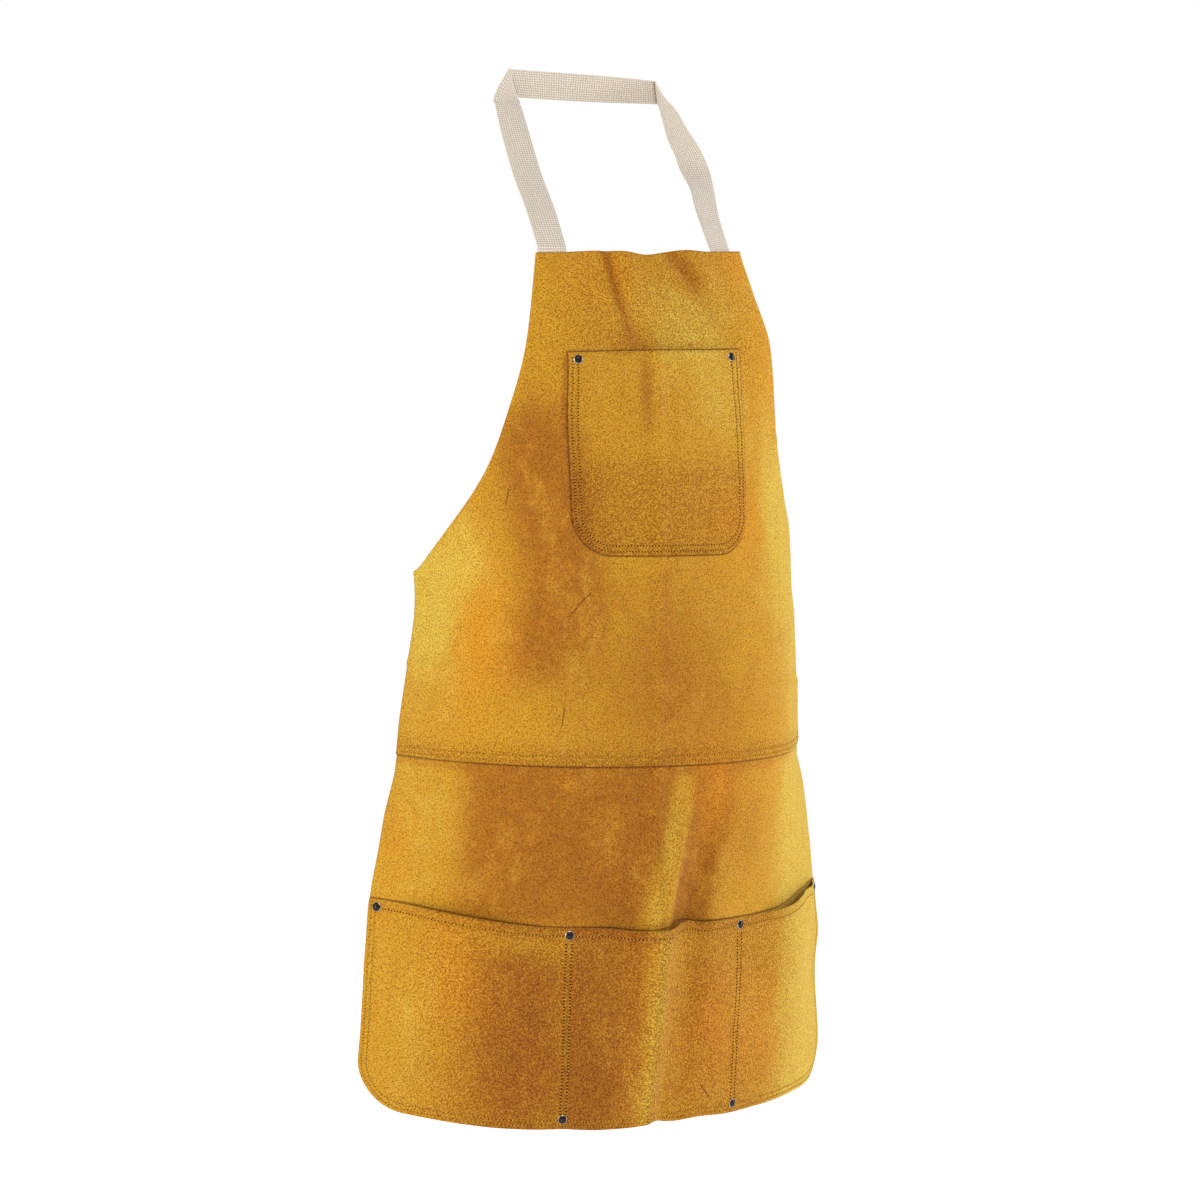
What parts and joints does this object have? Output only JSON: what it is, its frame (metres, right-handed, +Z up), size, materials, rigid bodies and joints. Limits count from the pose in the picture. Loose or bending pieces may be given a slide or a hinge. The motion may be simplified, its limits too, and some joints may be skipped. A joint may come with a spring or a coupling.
{
  "type": "welding apron",
  "caption": "Bib apron of split leather with webbing neck strap, riveted chest pocket and divided skirt pocket, hung as worn.",
  "frame": {"origin": "middle of the neck strap where it rests on the nape", "axes": "+Z up along the hanging apron, -Y the way the wearer faces, +X the wearer's left"},
  "size_m": [0.5454, 0.2043, 1.1307],
  "materials": {
    "split_leather": "suede nap, golden yellow, uneven",
    "cotton_webbing": "ribbed weave, natural cream",
    "yellow_thread": "heavy twisted thread",
    "nickel_rivet": "polished nickel plate"
  },
  "bodies": {
    "neck": {"neck_strap": "cotton_webbing"},
    "bib": {"bib_panel": "split_leather", "strap_end_left": "cotton_webbing", "strap_end_right": "cotton_webbing", "strap_tack_left": "yellow_thread", "strap_tack_right": "yellow_thread", "waist_tie_end_left": "cotton_webbing", "waist_tie_end_right": "cotton_webbing", "waist_tack_left": "yellow_thread", "waist_tack_right": "yellow_thread", "chest_pocket": "split_leather", "chest_pocket_outer_stitch": "yellow_thread", "chest_pocket_inner_stitch": "yellow_thread", "chest_rivet_caps": "nickel_rivet", "chest_rivet_posts": "nickel_rivet", "seam_upper_stitch": "yellow_thread", "seam_lower_stitch": "yellow_thread"},
    "skirt": {"skirt_panel": "split_leather", "skirt_pocket": "split_leather", "pocket_mouth_stitch": "yellow_thread", "pocket_border_outer_stitch": "yellow_thread", "pocket_border_inner_stitch": "yellow_thread", "divider_stitch_left": "yellow_thread", "divider_stitch_right": "yellow_thread", "mouth_rivet_caps": "nickel_rivet", "mouth_rivet_posts": "nickel_rivet", "hem_rivet_caps": "nickel_rivet", "hem_rivet_posts": "nickel_rivet"}
  },
  "joints": [
    {"name": "bib_swing", "type": "hinge", "parent": "neck", "child": "bib", "pos_m": [0, -0.1349, -0.192], "axis": [-1, 0, 0], "range_deg": [-20, 60]},
    {"name": "skirt_swing", "type": "hinge", "parent": "bib", "child": "skirt", "pos_m": [0, -0.1901, -0.734], "axis": [-1, 0, 0], "range_deg": [0, 45]}
  ]
}
